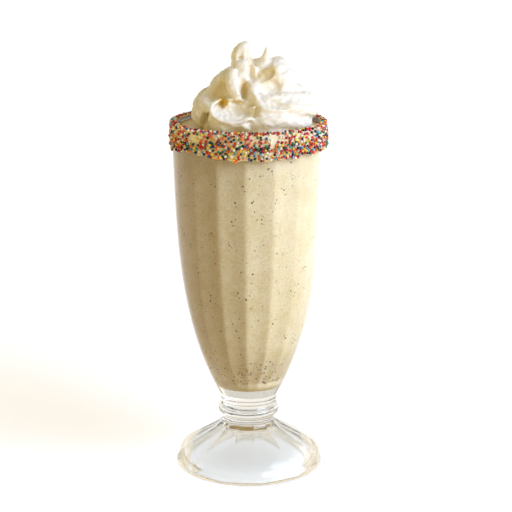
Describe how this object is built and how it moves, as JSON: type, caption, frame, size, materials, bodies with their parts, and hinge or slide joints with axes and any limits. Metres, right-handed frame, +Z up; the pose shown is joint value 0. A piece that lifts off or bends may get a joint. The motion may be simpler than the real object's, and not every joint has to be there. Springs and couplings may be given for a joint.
{
  "type": "milkshake in a footed glass",
  "caption": "Vanilla milkshake in a tall footed soda glass with a panelled bowl, a piped swirl of whipped cream and a rim coated in sugar sprinkles.",
  "frame": {"origin": "centre of the ring that the foot stands on, on the surface", "axes": "+Z up along the axis of the glass, -Y towards the front, +X to the right"},
  "size_m": [0.0844, 0.0844, 0.232],
  "materials": {
    "clear_glass": "polished, clear",
    "milkshake": "smooth, opaque, pale vanilla",
    "whipped_cream": "soft, slightly glossy, ivory white",
    "sprinkles": "small sugar balls of many colours, satin",
    "icing": "thin white glaze, glossy",
    "vanilla_specks": "matt, dark brown"
  },
  "bodies": {
    "root": {"glass": "clear_glass", "milkshake": "milkshake", "whipped_cream": "whipped_cream", "sprinkle_band": "sprinkles"}
  },
  "joints": []
}
